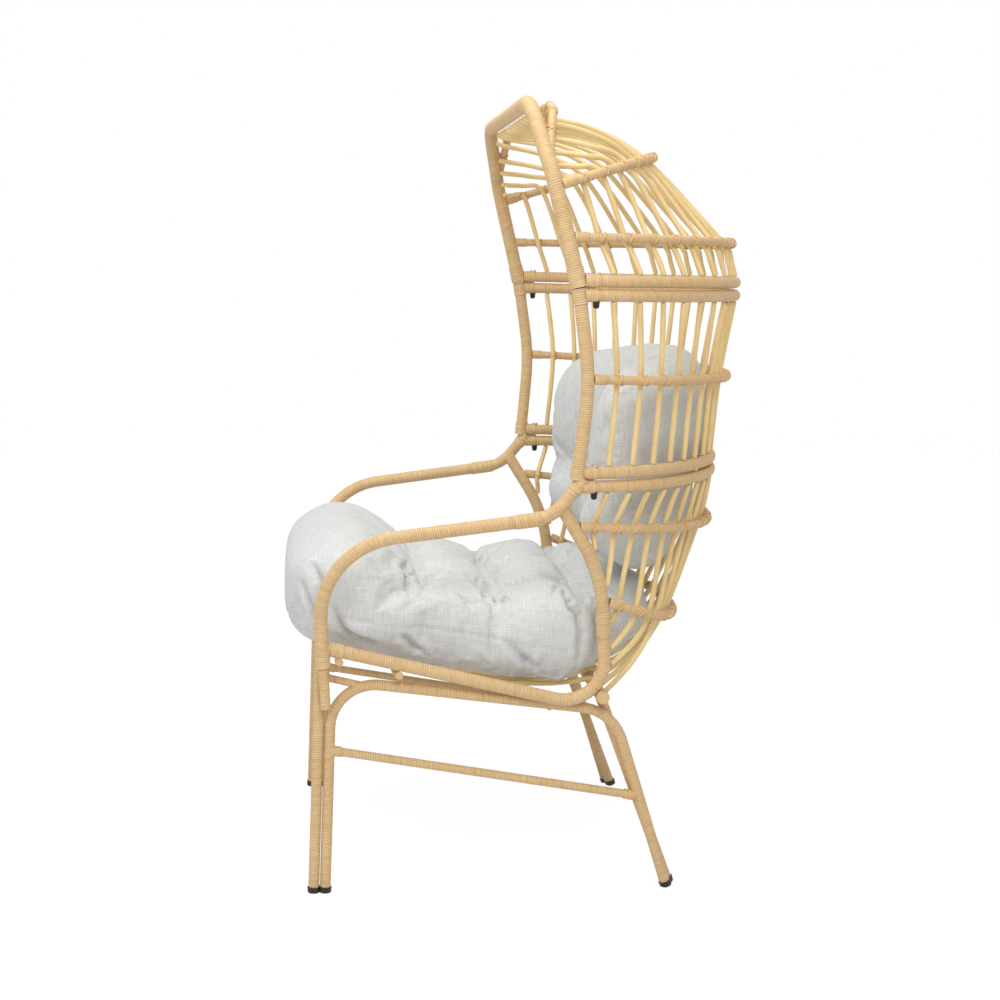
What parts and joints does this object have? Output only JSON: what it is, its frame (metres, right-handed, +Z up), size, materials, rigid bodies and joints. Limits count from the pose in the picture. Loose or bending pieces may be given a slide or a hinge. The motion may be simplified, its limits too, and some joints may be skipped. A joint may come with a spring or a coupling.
{
  "type": "egg chair",
  "caption": "High-back egg chair on four legs: wrapped tube frame, ribbed basket sections bolted together, open hood, and loose seat and back cushions.",
  "frame": {"origin": "on the floor under the middle of the chair's box", "axes": "+Z up, -Y towards the open front of the seat, +X towards the sitter's left"},
  "size_m": [0.888, 0.8797, 1.4372],
  "materials": {
    "wrap": "satin, wound with narrow resin strand",
    "rib": "satin, fine lengthwise grain",
    "black": "matt",
    "steel": "zinc plated",
    "linen": "slubby plain weave"
  },
  "bodies": {
    "frame": {"left_front_leg": "wrap", "right_front_leg": "wrap", "left_leg_hoop": "wrap", "right_leg_hoop": "wrap", "left_stretcher": "wrap", "right_stretcher": "wrap", "left_rear_brace": "wrap", "right_rear_brace": "wrap", "left_leg_link": "wrap", "right_leg_link": "wrap", "left_arm_socket": "wrap", "right_arm_socket": "wrap", "foot_caps": "black", "arm_spigots": "steel", "leg_frame_bolts": "steel", "left_arm": "wrap", "right_arm": "wrap", "left_side_tube": "wrap", "right_side_tube": "wrap", "rear_cross_tube": "wrap", "seat_cross_bars": "wrap", "seat_rib_set": "rib", "lower_rail": "wrap", "lower_ring": "wrap", "bottom_ring": "wrap", "lower_rib_set": "rib", "middle_bottom_rail": "wrap", "middle_top_rail": "wrap", "left_middle_tube": "wrap", "right_middle_tube": "wrap", "middle_ring": "wrap", "middle_rib_set": "rib", "hood_hoop": "wrap", "hood_bottom_rail": "wrap", "hood_lower_ring": "wrap", "hood_upper_ring": "wrap", "hood_crown_ring": "wrap", "hood_rib_set": "rib", "seam_bolts": "steel", "cap_nuts": "black"},
    "seat_cushion_body": {"seat_cushion": "linen"},
    "back_cushion_body": {"back_cushion": "linen"}
  },
  "joints": [
    {"name": "seat_cushion_lift", "type": "slide", "parent": "frame", "child": "seat_cushion_body", "axis": [0, -0.97, 0.243], "range_m": [0, 0.3]},
    {"name": "back_cushion_lift", "type": "slide", "parent": "frame", "child": "back_cushion_body", "axis": [0, -0.6, 0.8], "range_m": [0, 0.3]}
  ]
}
